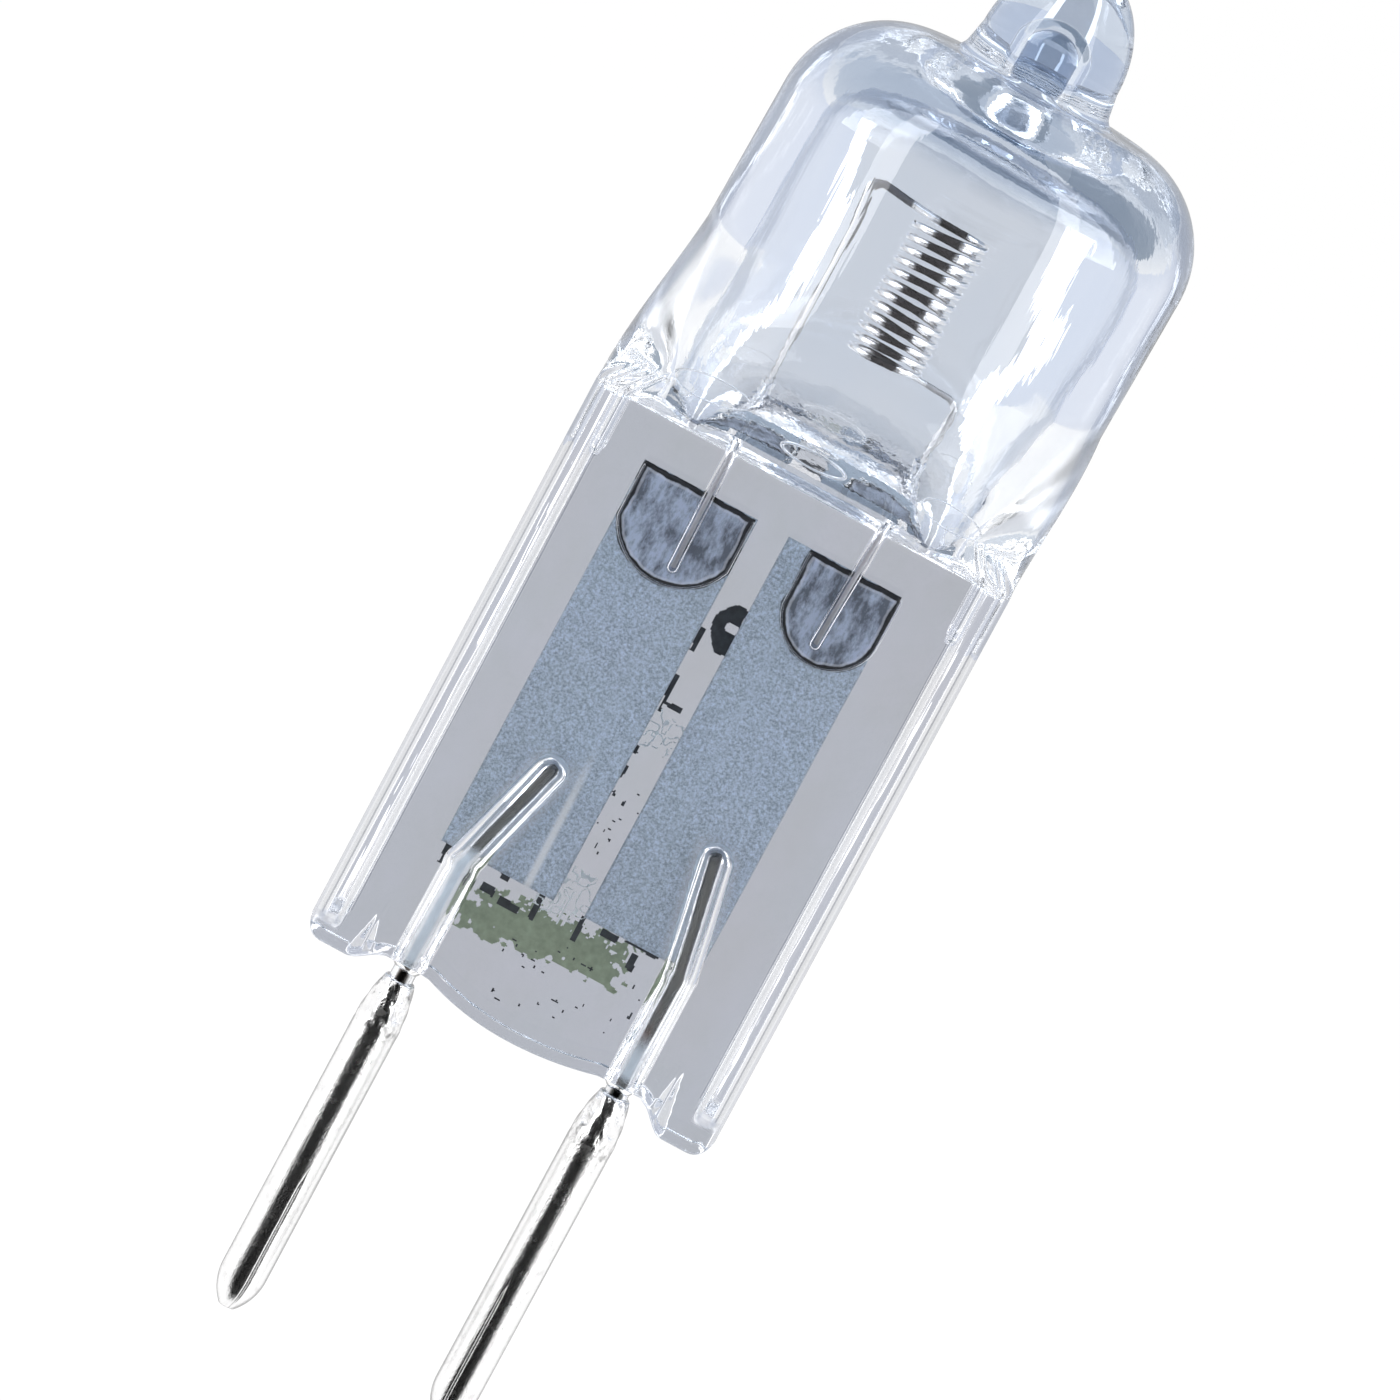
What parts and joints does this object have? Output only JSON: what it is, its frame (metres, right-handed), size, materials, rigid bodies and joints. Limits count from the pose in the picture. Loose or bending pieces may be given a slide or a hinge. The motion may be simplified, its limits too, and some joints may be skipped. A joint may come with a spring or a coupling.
{
  "type": "halogen capsule bulb",
  "caption": "Small clear halogen capsule bulb with a flat pressed quartz foot, an upright filament coil and contact pins.",
  "frame": {"origin": "midway between the two contact pins, where they reach their full diameter", "axes": "+Z along the lamp from the pins to the exhaust tip, +X along the pitch of the pins, -Y towards the front face of the press"},
  "size_m": [0.0122, 0.0116, 0.0415],
  "materials": {
    "quartz": "gloss",
    "tungsten": "satin",
    "foil": "matt",
    "lead": "satin",
    "nickel": "gloss"
  },
  "bodies": {
    "root": {"glass_envelope": "quartz", "filament": "tungsten", "left_foil": "foil", "right_foil": "foil", "left_lead": "lead", "right_lead": "lead", "left_pin": "nickel", "right_pin": "nickel"}
  },
  "joints": []
}
